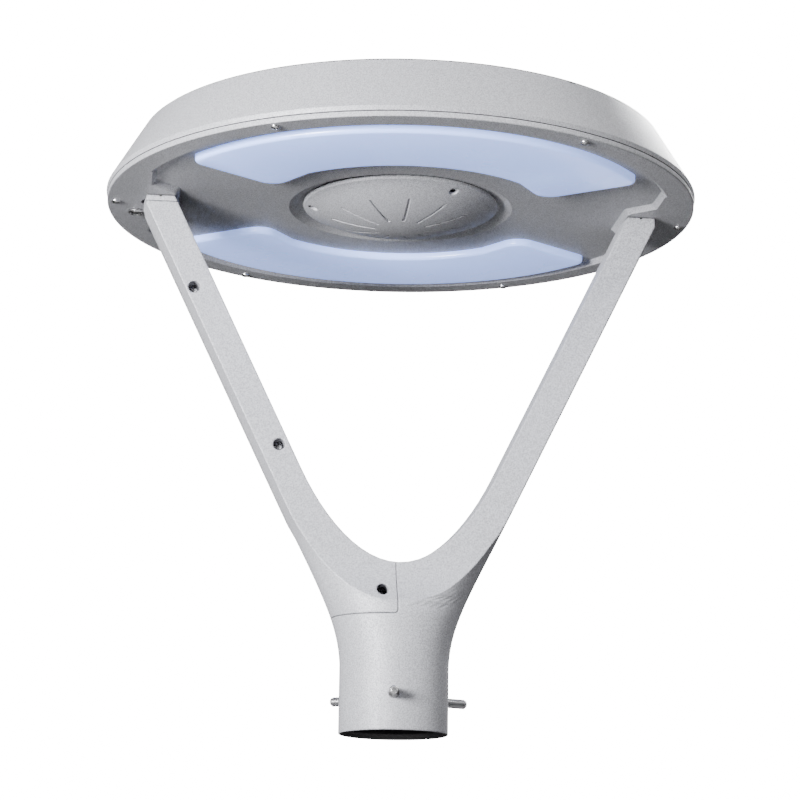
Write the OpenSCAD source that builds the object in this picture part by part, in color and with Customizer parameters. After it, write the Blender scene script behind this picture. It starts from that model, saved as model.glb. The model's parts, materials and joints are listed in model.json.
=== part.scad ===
// Solar post-top street lamp: a round lamp head on a V bracket with a pole socket.
// Frame: millimetres, +Z up, origin at the centre of the pole socket's lower end,
// front towards -Y, the two arms at -X and +X.

/* [Head] */
// Radius of the flat underside rim
rim_r = 250; // [240:1:262]
// Width of the flat underside rim
rim_w = 20; // [18:1:22]
// Height of the underside rim above the socket's lower end
rim_z = 445; // [430:1:470]
// Height of the lower housing's outer edge
edge_h = 4.5; // [4:0.5:6]
// How far the band above the parting line flares out
band_flare = 1; // [0.5:0.5:3]
// Height of the band above the parting line
band_h = 4; // [3:0.5:6]
// Outer radius of the shell at its top
top_r = 223; // [216:1:230]
// Height of the upper shell above the parting line
shell_h = 51.5; // [48:0.5:60]
// Wall of the upper shell
shell_wall = 3; // [2.5:0.5:4]
// Depth of the recessed floor above the rim
floor_depth = 4.3; // [3:0.1:6]
// Thickness of the lower housing's plate
plate_t = 3.5; // [3:0.5:5]
// Thickness of the head seal
seal_t = 0.8; // [0.5:0.1:1.2]

/* [Diffusers] */
// Outer radius of the crescent diffusers
diff_out_r = 217; // [212:0.5:218]
// Inner radius of the crescent diffusers
diff_in_r = 133.5; // [130:0.5:140]
// How far the diffusers stand below the rim plane
diff_drop = 1.7; // [0.5:0.1:3]
// Wall of the diffusers
diff_wall = 2; // [1.5:0.5:3]
// Width of the diffusers' hidden flange
flange_w = 8; // [7:0.5:9]
// Height of the frame that holds the diffuser and the board apart
frame_h = 4; // [3:0.5:6]
// Side of one light chip
led_size = 3; // [2:0.5:4]

/* [Centre cap] */
// Radius of the domed cap
cap_r = 83.5; // [80:0.5:88]
// Height of the dome below its seat
cap_sag = 22.5; // [18:0.5:26]
// Wall of the domed cap
cap_wall = 2.5; // [2:0.5:3]
// Radius of the conical recess around the cap
recess_r = 95.5; // [93:0.5:100]
// Height of the cap's seat above the recessed floor
seat_h = 4.5; // [4:0.5:6]
// Number of ray grooves
rays = 11; // [7:1:15]
// Inner end of the ray grooves
ray_r1 = 22; // [16:1:28]
// Outer end of the ray grooves
ray_r2 = 59; // [48:1:62]
// Radius of the circle of cap screws
cap_screw_r = 75; // [73:0.5:76]

/* [Solar panel] */
// Thickness of the front glass
glass_t = 3.2; // [3:0.2:4]
// How far the glass stands above the shell
glass_proud = 1.2; // [0.5:0.1:1.5]
// Width of the ledge under the glass
ledge_w = 14; // [10:1:18]
// Width of one cell
cell_w = 52; // [40:1:60]
// Length of one cell
cell_l = 39; // [30:1:60]
// Gap between cells
cell_gap = 2; // [1:0.5:4]

/* [Bracket] */
// Horizontal width of an arm's front face
arm_w = 27; // [24:0.5:30]
// Half depth of the arms
arm_half = 23.5; // [21:0.5:26]
// Sideways lean of the arms for each millimetre of height
lean = 0.4875; // [0.47:0.0025:0.5]
// Outer half width over the arms at the top
top_half = 219; // [216:0.5:222]
// Bulge of the arm sides at the mid plane
side_draft = 2.2; // [1.5:0.1:4]
// Height of the saddle between the arms
saddle_z = 139.3; // [134:0.1:146]
// Height where the flat front face runs out into the neck
crease_z = 103.4; // [98:0.1:108]
// Wall of the hollow left arm
arm_wall = 2.8; // [2.4:0.1:3.4]
// Width of the visible seam round the arm cover
seam = 0.5; // [0.3:0.1:0.6]
// Height of the arm cover's lower edge
cover_z = 94; // [92:0.5:97]

/* [Pole socket] */
// Outer radius of the socket
socket_r = 45; // [44:0.5:48]
// Radius of the socket's bore
bore_r = 39; // [36:0.5:40]
// Depth of the bore
bore_l = 86; // [70:1:90]
// Height of the set screws
set_z = 29.5; // [24:0.5:40]
// Radius of the set screws
set_r = 4; // [3:0.5:5]

/* [Battery and control] */
// Diameter of a battery cell
bat_d = 32; // [26:0.5:32]
// Length of a battery cell
bat_l = 70; // [65:1:70]
// Length of the charge controller's case
ctl_l = 72; // [64:1:73]
// Width of the charge controller's case
ctl_w = 66; // [56:1:70]
// Height of the charge controller's case
ctl_h = 24; // [20:1:28]

/* [Power button] */
// Radius of the button's bezel
bezel_r = 7; // [6.5:0.5:8]
// Radius of the moving cap
button_r = 4.6; // [4:0.1:5]
// Travel of the moving cap
button_travel = 1.2; // [1:0.1:1.5]

/* [Hidden] */
$fn = 96;
fit = 0.05;                       // radial clearance of screws in their threads
eps = 0.01;
part_z = rim_z + edge_h;          // parting line of the head
floor_z = rim_z + floor_depth;    // recessed floor, seen from below
deck_z = floor_z + plate_t;       // inside face of the lower plate
shell_top = part_z + shell_h;
glass_top = shell_top + glass_proud;
glass_z = glass_top - glass_t;
glass_r = top_r - 1.5;
ledge_z = glass_z - 1;
ledge_r = glass_r - ledge_w;
rim_in = rim_r - rim_w;
screw_ring = rim_r - 7.5;         // circle of the rim screws
groove = 0.4;                     // V between the two housings
seat_z = floor_z + seat_h;
collar_z = seat_z + plate_t;
cap_top = seat_z - seal_t;
cap_low = cap_top - cap_sag;
cap_edge = 4;                     // straight and rolled edge of the cap
face_z = rim_z - diff_drop;
flange_z = deck_z + seal_t;
frame_z = flange_z + diff_wall;
board_z = frame_z + frame_h;
board_t = 1.6;
arm_top = rim_z - seal_t;
upright = 7.5;                    // the arms' outer side is upright over this height at the top
in_top = top_half + lean * upright - side_draft - arm_w; // front inner edge at the arm top
arm_x = (in_top + top_half - side_draft) / 2;
bolt_x = 203;
bolt_y = 14;
cable_x = 210.8;
cable_r = 10.5;
cover_top = arm_top - 4.5;
cover_x = -2;
cover_round = 3;                  // rounded lower corner of the arm cover
block_z = arm_top - 30;           // solid block that takes the arm bolts
button_x = -225;
button_y = 26;
ctl_x = 112;
bat_z = collar_z + 3 + bat_d / 2 + 0.2;

// ---------- small shared shapes ----------

function unit(v) = v / norm(v);

// Points of an arc that rounds the corner q between p and s.
function corner(p, q, s, r, n) =
    let (u = unit(p - q), w = unit(s - q), half = acos(u * w) / 2)
    let (c = q + unit(u + w) * (r / sin(half)), a = q + u * (r / tan(half)) - c)
    let (b = q + w * (r / tan(half)) - c, a0 = atan2(a.y, a.x))
    let (turn = ((atan2(b.y, b.x) - a0 + 540) % 360) - 180)
    [for (i = [0:n]) c + r * [cos(a0 + turn * i / n), sin(a0 + turn * i / n)]];

// An outline whose corners, given as [x, y, radius], are rounded.
function rounded(pts, n = 6) = let (m = len(pts))
    [for (i = [0:m - 1]) let (q = pts[i], p = pts[(i + m - 1) % m], s = pts[(i + 1) % m])
        each (q.z == 0 ? [[q.x, q.y]]
            : corner([p.x, p.y], [q.x, q.y], [s.x, s.y], q.z, n))];

function polar(r, a) = [r * sin(a), -r * cos(a)];

module ring(r1, r2, h) {
    difference() {
        cylinder(r = r2, h = h);
        translate([0, 0, -1]) cylinder(r = r1, h = h + 2);
    }
}

// Screw along +Z: head below z = 0, shank above, cross recess in the head.
module pan_screw(r, length, head_r, head_h) {
    difference() {
        union() {
            cylinder(r = r, h = length);
            rotate_extrude() polygon(concat([[0, 0], [head_r, 0]],
                [for (i = [1:6]) [head_r * cos(i * 15), -head_h * (0.3 + 0.7 * sin(i * 15))]]));
        }
        for (a = [0, 90]) rotate([0, 0, a])
            translate([-head_r * 0.5, -head_r * 0.11, -head_h - 1])
                cube([head_r, head_r * 0.22, 1 + head_h * 0.6]);
    }
}

function bez(p, t) = pow(1 - t, 3) * p[0] + 3 * pow(1 - t, 2) * t * p[1]
    + 3 * (1 - t) * t * t * p[2] + t * t * t * p[3];
function bez_d(p, t) = 3 * pow(1 - t, 2) * (p[1] - p[0]) + 6 * (1 - t) * t * (p[2] - p[1])
    + 3 * t * t * (p[3] - p[2]);

// A solid through rings of points, all with the same number of points.
module loft(rings) {
    m = len(rings[0]);
    k = len(rings);
    polyhedron(points = [for (r = rings) each r],
        faces = concat([[for (i = [0:m - 1]) i]],
            [for (j = [0:k - 2], i = [0:m - 1])
                [j * m + i, (j + 1) * m + i, (j + 1) * m + (i + 1) % m, j * m + (i + 1) % m]],
            [[for (i = [m - 1:-1:0]) (k - 1) * m + i]]));
}

// Wire of radius r along cubic curves that follow on from each other.
wire_sides = 8;
wire_steps = 12;
module wire(curves, r) {
    loft([for (k = [0:len(curves) - 1], i = [(k == 0 ? 0 : 1):wire_steps])
        let (p = curves[k], t = i / wire_steps, c = bez(p, t), d = unit(bez_d(p, t)))
        let (u = unit(cross(d, [0.21, 0.13, 1])), v = cross(d, u))
        [for (a = [0:wire_sides - 1]) let (g = -360 * a / wire_sides) c + r * (u * cos(g) + v * sin(g))]]);
}

// ---------- bracket ----------

neck_z0 = 52;                     // the neck starts to widen here
neck_z1 = 195;                    // and runs into the straight arms here
neck_x1 = top_half - lean * (arm_top - upright - neck_z1);
neck_curve = [[socket_r, neck_z0], [socket_r, neck_z0 + 40],
    [neck_x1 - lean * 72, neck_z1 - 72], [neck_x1, neck_z1]];
// Mid-plane outline of the outer side, from the socket up: [half width, height].
outer_pts = concat([for (i = [0:20]) bez(neck_curve, i / 20)],
    [[top_half, arm_top - upright], [top_half, arm_top]]);

ell_depth = socket_r;             // half depth of the round neck
phi_max = 86.25;
round_depth = ell_depth * sin(phi_max);
scoop_top = crease_z + 46.6;
function smooth(t) = let (s = min(1, max(0, t))) s * s * (3 - 2 * s);
// Half depth of the flat front face at a height.
function depth_at(z) = z < crease_z ? round_depth
    : z > scoop_top ? arm_half
    : arm_half + (round_depth - arm_half) * pow((scoop_top - z) / (scoop_top - crease_z), 2);

side_n = 9;
// One side of a level section, from the mid plane to the front corner.
function side_pts(x, z, inset) =
    let (yf = depth_at(z) - inset, d = ell_depth - inset, phi = asin(min(0.998, yf / d)))
    let (w = smooth((z - 120) / 55), xm = x - inset)
    [for (j = [0:side_n]) let (a = phi * j / side_n, y = d * sin(a))
        [(1 - w) * xm * cos(a) + w * (xm - side_draft * y / yf), y]];
function section(x, z, inset) = let (s = side_pts(x, z, inset), n = len(s))
    concat([for (j = [n - 1:-1:0]) [s[j].x, -s[j].y, z]],
        [for (j = [1:n - 1]) [s[j].x, s[j].y, z]],
        [for (j = [n - 1:-1:0]) [-s[j].x, s[j].y, z]],
        [for (j = [1:n - 1]) [-s[j].x, -s[j].y, z]]);

// The outer body of neck and arms, without the gap between the arms.
module outer_body(inset) {
    loft([for (p = outer_pts) section(p.x, p.y, inset)]);
}

gap_z1 = 215;
gap_x1 = in_top - lean * (arm_top - gap_z1);
gap_dir = unit([lean, 1]);
gap_curve = [[0, saddle_z], [32, saddle_z], [gap_x1, gap_z1] - 45 * gap_dir, [gap_x1, gap_z1]];
gap_n = 12;
// Right half of the gap's outline moved out by d; the gap is wider at the faces.
function gap_half(d) = concat(
    [for (i = [0:gap_n]) let (v = unit(bez_d(gap_curve, i / gap_n)))
        bez(gap_curve, i / gap_n) + d * [v.y, -v.x]],
    [let (p = [in_top + 20 * lean, arm_top + 20]) p + d * [gap_dir.y, -gap_dir.x]]);
function gap_ring(y, d) = let (g = gap_half(d), n = len(g))
    concat([for (i = [n - 1:-1:0]) [g[i].x, y, g[i].y]],
        [for (i = [1:n - 1]) [-g[i].x, y, g[i].y]]);
gap_y = 60;
module gap(inset) {
    k = side_draft / arm_half;
    loft([gap_ring(-gap_y, inset + k * (gap_y - arm_half)), gap_ring(0, inset - side_draft),
        gap_ring(gap_y, inset + k * (gap_y - arm_half))]);
}

mouth_round = 1;                  // rounded lower edge of the socket
mouth_r = socket_r - mouth_round - 0.5;
function on_arm(drop, out) = [lean * drop - arm_x - out, arm_top - drop];
cover_holes = [on_arm(78.2, 7.8), on_arm(209.7, -2.3), [-14, 114.5]];
boss_y = -0.5;                    // bosses of cover and casting meet here
head_y = -9;                      // the cover screws' heads rest here
cover_hole_r = 5;

module cover_zone(g) {
    r = cover_round - g;
    x = cover_x - g - r;
    z = cover_z + g + r;
    translate([0, -g, 0]) rotate([90, 0, 0]) linear_extrude(100 - g) polygon(concat(
        [[-300, cover_z + g], [-300, cover_top - g], [cover_x - g, cover_top - g]],
        [for (a = [0:15:90]) [x + r * cos(a), z - r * sin(a)]]));
}

module channel() {
    intersection() {
        difference() {
            outer_body(arm_wall);
            gap(arm_wall);
        }
        translate([-300, -100, cover_z + 4]) cube([300 + cover_x - 4, 200, block_z - cover_z - 4]);
    }
}

module bracket() color("silver") {
    difference() {
        union() {
            rotate_extrude() polygon(concat([[0, 0]],
                [for (i = [0:5]) [socket_r - mouth_round * (1 - sin(i * 18)), mouth_round * (1 - cos(i * 18))]],
                [[socket_r, neck_z0 + 6], [0, neck_z0 + 6]]));
            difference() {
                outer_body(0);
                gap(0);
                difference() {
                    cover_zone(0);
                    translate([-300, -100, block_z]) cube([300, 200, 100]);
                }
                intersection() {
                    difference() {
                        cover_zone(0);
                        outer_block();
                    }
                    translate([-300, -100, block_z - 1]) cube([300, 200, 100]);
                }
                channel();
            }
            intersection() {
                outer_body(arm_wall / 2);
                for (h = cover_holes) translate([h.x, boss_y, h.y])
                    rotate([-90, 0, 0]) cylinder(r = 5, h = socket_r, $fn = 32);
            }
        }
        translate([0, 0, -1]) cylinder(r = bore_r, h = bore_l + 1);
        translate([0, 0, -eps]) cylinder(r1 = mouth_r, r2 = bore_r, h = mouth_r - bore_r);
        translate([-18, 8, bore_l - 1]) cylinder(r = 9, h = 30, $fn = 32);
        for (h = cover_holes) translate([h.x, boss_y - 1, h.y])
            rotate([-90, 0, 0]) cylinder(r = 2 + fit, h = 14, $fn = 32);
        for (a = set_angles) rotate([0, 0, a]) translate([0, 0, set_z])
            rotate([90, 0, 0]) cylinder(r = set_r + fit, h = socket_r + 5, $fn = 48);
        for (s = [-1, 1], y = [-bolt_y, bolt_y]) translate([s * bolt_x, y, arm_top - 19])
            cylinder(r = 3 + fit, h = 20, $fn = 32);
        translate([-cable_x + 3, 0, arm_top + 1]) rotate([0, 180 + atan(lean), 0])
            cylinder(r = 6, h = 36, $fn = 32);
        for (s = [-1, 1]) translate([s * arm_x, -arm_half - 1, arm_top])
            rotate([-90, 0, 0]) cylinder(r = 1.2, h = 3, $fn = 24);
    }
}

// Core of the left arm's top end, inside the cover.
module outer_block() {
    difference() {
        outer_body(arm_wall + 0.2);
        gap(arm_wall + 0.2);
    }
}

module arm_cover() color("gainsboro") {
    difference() {
        union() {
            intersection() {
                difference() {
                    outer_body(0);
                    gap(0);
                    difference() {
                        outer_body(arm_wall);
                        gap(arm_wall);
                    }
                }
                cover_zone(seam);
            }
            intersection() {
                difference() {
                    outer_body(0);
                    gap(0);
                }
                for (h = cover_holes) translate([h.x, -60, h.y])
                    rotate([-90, 0, 0]) cylinder(r = cover_hole_r + 2.1, h = 60 + boss_y, $fn = 32);
                cover_zone(seam);
            }
        }
        for (h = cover_holes) translate([h.x, -60, h.y]) rotate([-90, 0, 0]) {
            cylinder(r = cover_hole_r, h = 60 + head_y, $fn = 48);
            cylinder(r = 2.3, h = 70, $fn = 32);
        }
    }
}

module arm_cover_screws() color("lightgray") {
    for (h = cover_holes) translate([h.x, head_y, h.y]) rotate([-90, 0, 0])
        pan_screw(2, 16, 3.7, 2.8, $fn = 32);
}

set_angles = [-6, 114, 234];
set_len = [25, 30, 20];
set_in = bore_r + 0.2;

// A socket set screw lying along the radius, hex recess outwards.
module set_screw(i) {
    rotate([0, 0, set_angles[i]]) translate([0, -set_in, set_z]) rotate([90, 0, 0])
        difference() {
            rotate_extrude($fn = 48) polygon([[0, 0], [set_r - 1.2, 0], [set_r, 1.2],
                [set_r, set_len[i] - 0.9], [set_r - 0.9, set_len[i]], [0, set_len[i]]]);
            translate([0, 0, set_len[i] - 4]) cylinder(r = 2.3, h = 5, $fn = 6);
        }
}

module set_screw_front() color("lightgray") set_screw(0);
module set_screw_right() color("lightgray") set_screw(1);
module set_screw_left() color("lightgray") set_screw(2);

module arm_foot(grow) {
    k = side_draft;
    polygon([[in_top + 1 - grow, -arm_half - grow], [top_half - k + grow, -arm_half - grow],
        [top_half + grow, 0], [top_half - k + grow, arm_half + grow],
        [in_top + 1 - grow, arm_half + grow], [in_top + 1 - k - grow, 0]]);
}

module arm_gaskets() color("dimgray") {
    for (s = [-1, 1]) difference() {
        translate([0, 0, arm_top]) linear_extrude(seal_t) mirror([s < 0 ? 1 : 0, 0]) arm_foot(-1);
        for (y = [-bolt_y, bolt_y]) translate([s * bolt_x, y, arm_top - 1]) cylinder(r = 3.4, h = 3);
        translate([-cable_x, 0, arm_top - 1]) cylinder(r = cable_r + 0.1, h = 3);
    }
}

module arm_bolts() color("lightgray") {
    for (s = [-1, 1], y = [-bolt_y, bolt_y]) translate([s * bolt_x, y, deck_z + 1.2])
        difference() {
            union() {
                translate([0, 0, -26]) cylinder(r = 3, h = 26, $fn = 32);
                cylinder(r = 5.6, h = 4.2, $fn = 6);
            }
            translate([0, 0, 3.2]) cylinder(r = 2, h = 2, $fn = 32);
        }
}

module arm_washers() color("silver") {
    for (s = [-1, 1], y = [-bolt_y, bolt_y]) translate([s * bolt_x, y, deck_z])
        ring(3.2, 6.4, 1.2, $fn = 48);
}

// ---------- lower housing ----------

pad_nose = in_top - 0.5;          // inner edge of the pads at the arm
pad_x = pad_nose + 20.5;          // straight inner edge of the pads
wall_run = 4;                     // slope of the recess wall

// One block of a pad, wider at the floor than at the rim plane.
module pad_block(pts, run_pts) {
    hull() {
        translate([0, 0, rim_z]) linear_extrude(eps) polygon(pts);
        translate([0, 0, floor_z]) linear_extrude(eps) polygon(run_pts);
    }
}

module pad() {
    r = wall_run;
    x2 = rim_in + 6;
    pad_block([[pad_x, -82], [x2, -82], [x2, 82], [pad_x, 82]],
        [[pad_x - r, -84], [x2, -84], [x2, 84], [pad_x - r, 84]]);
    pad_block([[pad_nose, -27], [pad_nose + 2, -30], [pad_x + 1, -48], [pad_x + 1, 48],
        [pad_nose + 2, 30], [pad_nose, 27]],
        [[pad_nose - r, -29], [pad_nose - r + 2, -33], [pad_x + 1, -54], [pad_x + 1, 54],
        [pad_nose - r + 2, 33], [pad_nose - r, 29]]);
}

// Outline of the front crescent, moved out by grow.
end_a = [184, -116];
end_b = [112, -63.5];
function arc(r, a0, a1, n) = [for (i = [0:n]) let (p = polar(r, a0 + (a1 - a0) * i / n)) [p.x, p.y, 0]];
function crescent(grow) = let (d = unit(end_a - end_b), m = [d.y, -d.x])
    let (a = end_a + grow * (m * -1 + d), b = end_b + grow * (m * -1 - d * 0.6))
    let (ang_o = 52, ang_i = 40)
    rounded(concat(arc(diff_out_r + grow, -ang_o, ang_o, 26), [[a.x, a.y, 10 + grow]],
        [[b.x, b.y, 16 + grow]], arc(diff_in_r - grow, ang_i, -ang_i, 16),
        [[-b.x, b.y, 16 + grow]], [[-a.x, a.y, 10 + grow]]));

module both_sides() {
    children();
    mirror([0, 1, 0]) children();
}

board_holes = concat([for (a = [-46, -16, 16, 46]) polar(diff_out_r + flange_w / 2, a)],
    [for (a = [-24, 24]) polar(diff_in_r - flange_w / 2, a)]);
holder_holes = [[-80, -28], [80, -28], [80, 28], [-80, 28]];
ctl_holes = [[ctl_x - 6, -20], [ctl_x - 6, 20], [ctl_x + ctl_l + 6, -20], [ctl_x + ctl_l + 6, 20]];

module lower_housing() color("darkgray") {
    difference() {
        union() {
            rotate_extrude($fn = 144) polygon([[rim_in, rim_z], [rim_r - 0.5, rim_z],
                [rim_r, rim_z + 0.5], [rim_r, part_z - groove], [rim_r - groove, part_z],
                [rim_r - 14.5, part_z],
                [rim_r - 14.5, deck_z], [recess_r + 4.5, deck_z], [recess_r + 4.5, collar_z],
                [cap_r - 11.5, collar_z], [cap_r - 11.5, seat_z], [cap_r + 2.5, seat_z],
                [recess_r, floor_z], [rim_in - wall_run, floor_z]]);
            pad();
            mirror([1, 0, 0]) pad();
        }
        both_sides() translate([0, 0, rim_z - 5]) linear_extrude(20) polygon(crescent(0.3));
        for (i = [0:5]) rotate([0, 0, 30 + 60 * i]) translate([0, -screw_ring, rim_z - 1])
            cylinder(r = 2.2, h = 12, $fn = 32);
        for (s = [-1, 1], y = [-bolt_y, bolt_y]) translate([s * bolt_x, y, rim_z - 1])
            cylinder(r = 3.3, h = 20, $fn = 32);
        translate([-cable_x, 0, rim_z - 1]) cylinder(r = cable_r, h = 20, $fn = 48);
        translate([button_x, button_y, rim_z - 1]) cylinder(r = 6.05, h = 20, $fn = 48);
        both_sides() for (p = board_holes) translate([p.x, p.y, deck_z - plate_t + 0.8])
            cylinder(r = 1.5 + fit, h = 20, $fn = 24);
        for (i = [0:2]) rotate([0, 0, 30 + 120 * i]) translate([0, -cap_screw_r, seat_z - 1])
            cylinder(r = 2 + fit, h = plate_t + 0.2, $fn = 24);
        for (p = holder_holes) translate([p.x, p.y, collar_z - plate_t + 0.3])
            cylinder(r = 1.5 + fit, h = 20, $fn = 24);
        for (p = ctl_holes) translate([p.x, p.y, deck_z - plate_t + 0.8])
            cylinder(r = 1.5 + fit, h = 20, $fn = 24);
    }
}

module rim_screws() color("lightgray") {
    for (i = [0:5]) rotate([0, 0, 30 + 60 * i]) translate([0, -screw_ring, rim_z])
        pan_screw(2, edge_h + seal_t + boss_h - 2, 4, 2.4, $fn = 32);
}

module head_seal() color("dimgray") {
    difference() {
        translate([0, 0, part_z]) ring(rim_r - 13.5, rim_r - 3, seal_t, $fn = 144);
        for (i = [0:5]) rotate([0, 0, 30 + 60 * i]) translate([0, -screw_ring, part_z - 1])
            cylinder(r = 2.2, h = 4, $fn = 32);
    }
}

// ---------- upper housing and panel ----------

boss_r = 4.6;                     // bosses of the rim screws
boss_h = 8.5;
cone_k = (rim_r + band_flare - top_r) / (shell_h - band_h);
function cone_r(z) = rim_r + band_flare - cone_k * (z - part_z - band_h);

module upper_housing() color("silver") {
    low = part_z + seal_t;
    difference() {
        union() {
            rotate_extrude($fn = 144) polygon([[rim_r - groove, part_z],
                [rim_r + band_flare * groove / band_h, part_z + groove],
                [rim_r + band_flare, part_z + band_h],
                [top_r, shell_top], [glass_r + 0.3, shell_top], [glass_r + 0.3, ledge_z],
                [ledge_r, ledge_z], [ledge_r, ledge_z - 2.5],
                [cone_r(ledge_z - 2.5) - shell_wall, ledge_z - 2.5],
                [cone_r(low + 3) - shell_wall, low + 3], [rim_r - 13.5, low + 3],
                [rim_r - 13.5, low], [rim_r - 2.8, low], [rim_r - 2.8, part_z]]);
            for (i = [0:5]) rotate([0, 0, 30 + 60 * i]) translate([0, -screw_ring, low])
                cylinder(r = boss_r, h = boss_h, $fn = 48);
        }
        for (i = [0:5]) rotate([0, 0, 30 + 60 * i]) translate([0, -screw_ring, part_z - 1])
            cylinder(r = 2 + fit, h = seal_t + boss_h - 0.2, $fn = 32);
        rotate([0, 0, 31]) translate([-4.5, -top_r - 4, shell_top - 2]) cube([9, 5, 4]);
    }
}

module solar_glass() color("lightblue") {
    translate([0, 0, glass_z]) cylinder(r = glass_r, h = glass_t, $fn = 144);
}

module glass_seal() color("dimgray") {
    translate([0, 0, ledge_z]) ring(ledge_r + 0.5, glass_r - 0.5, glass_z - ledge_z, $fn = 144);
}

cell_t = 0.4;
sheet_r = ledge_r - 1;
module solar_cells() color("midnightblue") {
    nx = floor(sheet_r / (cell_w + cell_gap));
    ny = floor(sheet_r / (cell_l + cell_gap));
    for (i = [-nx:nx], j = [-ny:ny]) {
        x = i * (cell_w + cell_gap);
        y = j * (cell_l + cell_gap);
        if (norm([abs(x) + cell_w / 2, abs(y) + cell_l / 2]) < sheet_r - 3)
            translate([x - cell_w / 2, y - cell_l / 2, glass_z - cell_t]) cube([cell_w, cell_l, cell_t]);
    }
}

module solar_backsheet() color("white") {
    translate([0, 0, glass_z - cell_t - 0.6]) cylinder(r = sheet_r, h = 0.6, $fn = 144);
}

jb = [70, 46, 14];                // junction box of the panel
jb_x = -150;
jb_z = glass_z - cell_t - 0.6 - jb.z;
module junction_box() color("black") {
    translate([jb_x - jb.x / 2, -jb.y / 2, jb_z]) difference() {
        cube(jb);
        translate([2, 2, -1]) cube([jb.x - 4, jb.y - 4, jb.z - 1]);
        translate([-1, jb.y / 2, jb.z / 2]) rotate([0, 90, 0]) cylinder(r = 2, h = 4, $fn = 24);
    }
}
module junction_lid() color("dimgray") {
    translate([jb_x - jb.x / 2, -jb.y / 2, jb_z - 1.5]) cube([jb.x, jb.y, 1.5]);
}

// ---------- diffusers and boards ----------

diff_round = 3;                   // rounded lower edge of the diffusers
function crescent_ring(grow, z) = [for (p = crescent(grow)) [p.x, p.y, z]];
module diffuser() {
    low = face_z + diff_round;
    difference() {
        union() {
            mirror([0, 0, 1]) loft(concat(
                [crescent_ring(0, -flange_z - 0.5)],
                [for (i = [0:4]) let (a = 22.5 * i)
                    crescent_ring(-diff_round * (1 - cos(a)), -low + diff_round * sin(a))]));
            translate([0, 0, flange_z]) linear_extrude(diff_wall) polygon(crescent(flange_w));
        }
        translate([0, 0, face_z + diff_wall]) linear_extrude(30) polygon(crescent(-diff_wall - 0.5));
        for (p = board_holes) translate([p.x, p.y, flange_z - 1]) cylinder(r = 1.7, h = 6, $fn = 24);
    }
}
module diffuser_front() color("aliceblue") diffuser();
module diffuser_rear() color("aliceblue") mirror([0, 1, 0]) diffuser();

module diffuser_seals() color("dimgray") {
    both_sides() translate([0, 0, deck_z]) difference() {
        linear_extrude(seal_t) polygon(crescent(flange_w));
        translate([0, 0, -1]) linear_extrude(5) polygon(crescent(1));
        for (p = board_holes) translate([p.x, p.y, -1]) cylinder(r = 1.7, h = 6, $fn = 24);
    }
}

module board_frame() {
    translate([0, 0, frame_z]) difference() {
        linear_extrude(frame_h) polygon(crescent(flange_w));
        translate([0, 0, -1]) linear_extrude(frame_h + 2) polygon(crescent(-1));
        for (p = board_holes) translate([p.x, p.y, -1]) cylinder(r = 1.7, h = 9, $fn = 24);
    }
}
module board_frame_front() color("whitesmoke") board_frame();
module board_frame_rear() color("whitesmoke") mirror([0, 1, 0]) board_frame();

module led_board() {
    translate([0, 0, board_z]) difference() {
        linear_extrude(board_t) polygon(crescent(flange_w));
        for (p = board_holes) translate([p.x, p.y, -1]) cylinder(r = 1.7, h = 9, $fn = 24);
    }
}
module led_board_front() color("white") led_board();
module led_board_rear() color("white") mirror([0, 1, 0]) led_board();

led_rows = [[150, 32, 5], [172, 40, 6], [194, 42, 7]];   // radius, end angle, steps each way
module leds() {
    for (row = led_rows, i = [-row.z:row.z]) rotate([0, 0, row.y * i / row.z])
        translate([-led_size / 2, -row.x - led_size / 2, board_z - 0.8])
            cube([led_size, led_size, 0.8]);
}
module leds_front() color("khaki") leds();
module leds_rear() color("khaki") mirror([0, 1, 0]) leds();

module board_screws() color("silver") {
    both_sides() for (p = board_holes) translate([p.x, p.y, board_z + board_t]) rotate([180, 0, 0])
        pan_screw(1.5, board_z + board_t - floor_z - 1.2, 2.8, 2, $fn = 24);
}

// ---------- centre cap ----------

dome_z = cap_low + cap_sag - cap_edge;           // the sphere meets the rolled edge here
dome_sag = dome_z - cap_low;
dome_edge = cap_r - 3;
dome_r = (dome_edge * dome_edge + dome_sag * dome_sag) / (2 * dome_sag);
function dome_pts(r, x1) = let (a = asin(x1 / r))
    [for (i = [0:24]) [r * sin(a * i / 24), cap_low + dome_r - r * cos(a * i / 24)]];

module ray(a) {
    a1 = asin(ray_r1 / dome_r);
    a2 = asin(ray_r2 / dome_r);
    rotate([0, 0, a]) translate([0, 0, cap_low + dome_r]) rotate([90, 0, -90])
        rotate([0, 0, -90 + a1]) rotate_extrude(angle = a2 - a1, $fn = 360)
            translate([dome_r, 0]) circle(r = 1.1, $fn = 16);
}

module centre_cap() color("gray") {
    low = dome_pts(dome_r, dome_edge);
    inner = dome_pts(dome_r - cap_wall, dome_edge - 3);
    difference() {
        rotate_extrude($fn = 144) polygon(concat(low,
            [[cap_r - 1, dome_z + 0.8], [cap_r, dome_z + 2.4], [cap_r, cap_top],
            [cap_r - 10.5, cap_top], [cap_r - 10.5, cap_top - 1.5]],
            [for (i = [24:-1:0]) inner[i]]));
        for (i = [0:rays - 1]) ray(1 + 360 / rays * i);
        for (i = [0:2]) rotate([0, 0, 30 + 120 * i]) translate([0, -cap_screw_r, 0]) {
            translate([0, 0, cap_low - 1]) cylinder(r = 4.2, h = cap_top - 2.8 - cap_low + 1, $fn = 48);
            translate([0, 0, cap_low]) cylinder(r = 2.2, h = 40, $fn = 24);
        }
    }
}

module cap_seal() color("dimgray") {
    difference() {
        translate([0, 0, cap_top]) ring(cap_r - 11.2, cap_r - 1, seal_t, $fn = 144);
        for (i = [0:2]) rotate([0, 0, 30 + 120 * i]) translate([0, -cap_screw_r, cap_top - 1])
            cylinder(r = 2.2, h = 4, $fn = 24);
    }
}

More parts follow.
